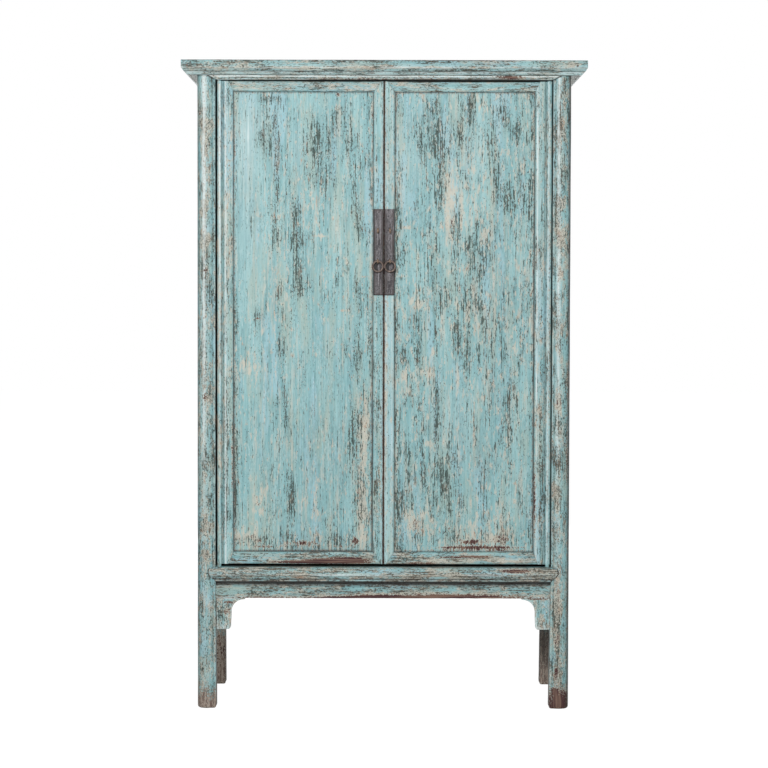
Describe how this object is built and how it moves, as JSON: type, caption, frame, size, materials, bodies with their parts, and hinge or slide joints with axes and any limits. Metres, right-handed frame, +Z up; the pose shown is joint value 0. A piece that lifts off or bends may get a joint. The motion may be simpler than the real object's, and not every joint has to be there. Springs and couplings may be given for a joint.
{
  "type": "two-door cabinet",
  "caption": "Tall painted wood cabinet with an overhanging moulded top, panelled doors on wooden pivots, ring pulls on iron plates, shelves inside and a bracketed apron between its legs.",
  "frame": {"origin": "floor, under the middle of the cabinet", "axes": "+Z up, +X to the right seen from the front, the doors face -Y"},
  "size_m": [1.12, 0.52, 1.8],
  "materials": {
    "painted_wood": "worn matt paint over wood",
    "bare_wood": "bare aged wood",
    "iron": "forged, dark and rubbed"
  },
  "bodies": {
    "case": {"top_front_member": "painted_wood", "top_back_member": "painted_wood", "top_left_member": "painted_wood", "top_right_member": "painted_wood", "top_panel": "painted_wood", "front_left_post": "painted_wood", "front_right_post": "painted_wood", "back_left_post": "painted_wood", "back_right_post": "painted_wood", "front_lintel": "painted_wood", "left_top_rail": "painted_wood", "right_top_rail": "painted_wood", "front_sill": "painted_wood", "left_bottom_rail": "painted_wood", "right_bottom_rail": "painted_wood", "front_apron": "painted_wood", "front_left_spandrel": "painted_wood", "front_right_spandrel": "painted_wood", "left_side_apron": "painted_wood", "right_side_apron": "painted_wood", "left_side_spandrels": "painted_wood", "right_side_spandrels": "painted_wood", "left_side_panel": "painted_wood", "right_side_panel": "painted_wood", "top_battens": "bare_wood", "back_top_rail": "bare_wood", "back_bottom_rail": "bare_wood", "back_left_panel": "bare_wood", "back_right_panel": "bare_wood", "back_muntin": "bare_wood", "floor_panel": "bare_wood", "floor_battens": "bare_wood", "lower_shelf": "bare_wood", "upper_shelf": "bare_wood", "left_shelf_bearers": "bare_wood", "right_shelf_bearers": "bare_wood", "top_nails": "iron"},
    "left_door": {"left_door_pivot_stile": "painted_wood", "left_door_meeting_stile": "painted_wood", "left_door_top_rail": "painted_wood", "left_door_bottom_rail": "painted_wood", "left_door_panel": "painted_wood", "left_door_battens": "bare_wood", "left_face_plate": "iron", "left_lock_eye": "iron", "left_ring_eye": "iron"},
    "right_door": {"right_door_pivot_stile": "painted_wood", "right_door_meeting_stile": "painted_wood", "right_door_top_rail": "painted_wood", "right_door_bottom_rail": "painted_wood", "right_door_panel": "painted_wood", "right_door_battens": "bare_wood", "right_face_plate": "iron", "right_lock_eye": "iron", "right_ring_eye": "iron"},
    "left_ring": {"left_ring_pull": "iron"},
    "right_ring": {"right_ring_pull": "iron"}
  },
  "joints": [
    {"name": "left_door_swing", "type": "hinge", "parent": "case", "child": "left_door", "pos_m": [-0.457, -0.219, 1.074], "axis": [0, 0, -1], "range_deg": [0, 100]},
    {"name": "left_ring_swing", "type": "hinge", "parent": "left_door", "child": "left_ring", "pos_m": [-0.017, -0.233, 1.247], "axis": [-1, 0, 0], "range_deg": [-8, 165]},
    {"name": "right_door_swing", "type": "hinge", "parent": "case", "child": "right_door", "pos_m": [0.457, -0.219, 1.074], "axis": [0, 0, 1], "range_deg": [0, 100]},
    {"name": "right_ring_swing", "type": "hinge", "parent": "right_door", "child": "right_ring", "pos_m": [0.017, -0.233, 1.247], "axis": [-1, 0, 0], "range_deg": [-8, 165]}
  ]
}
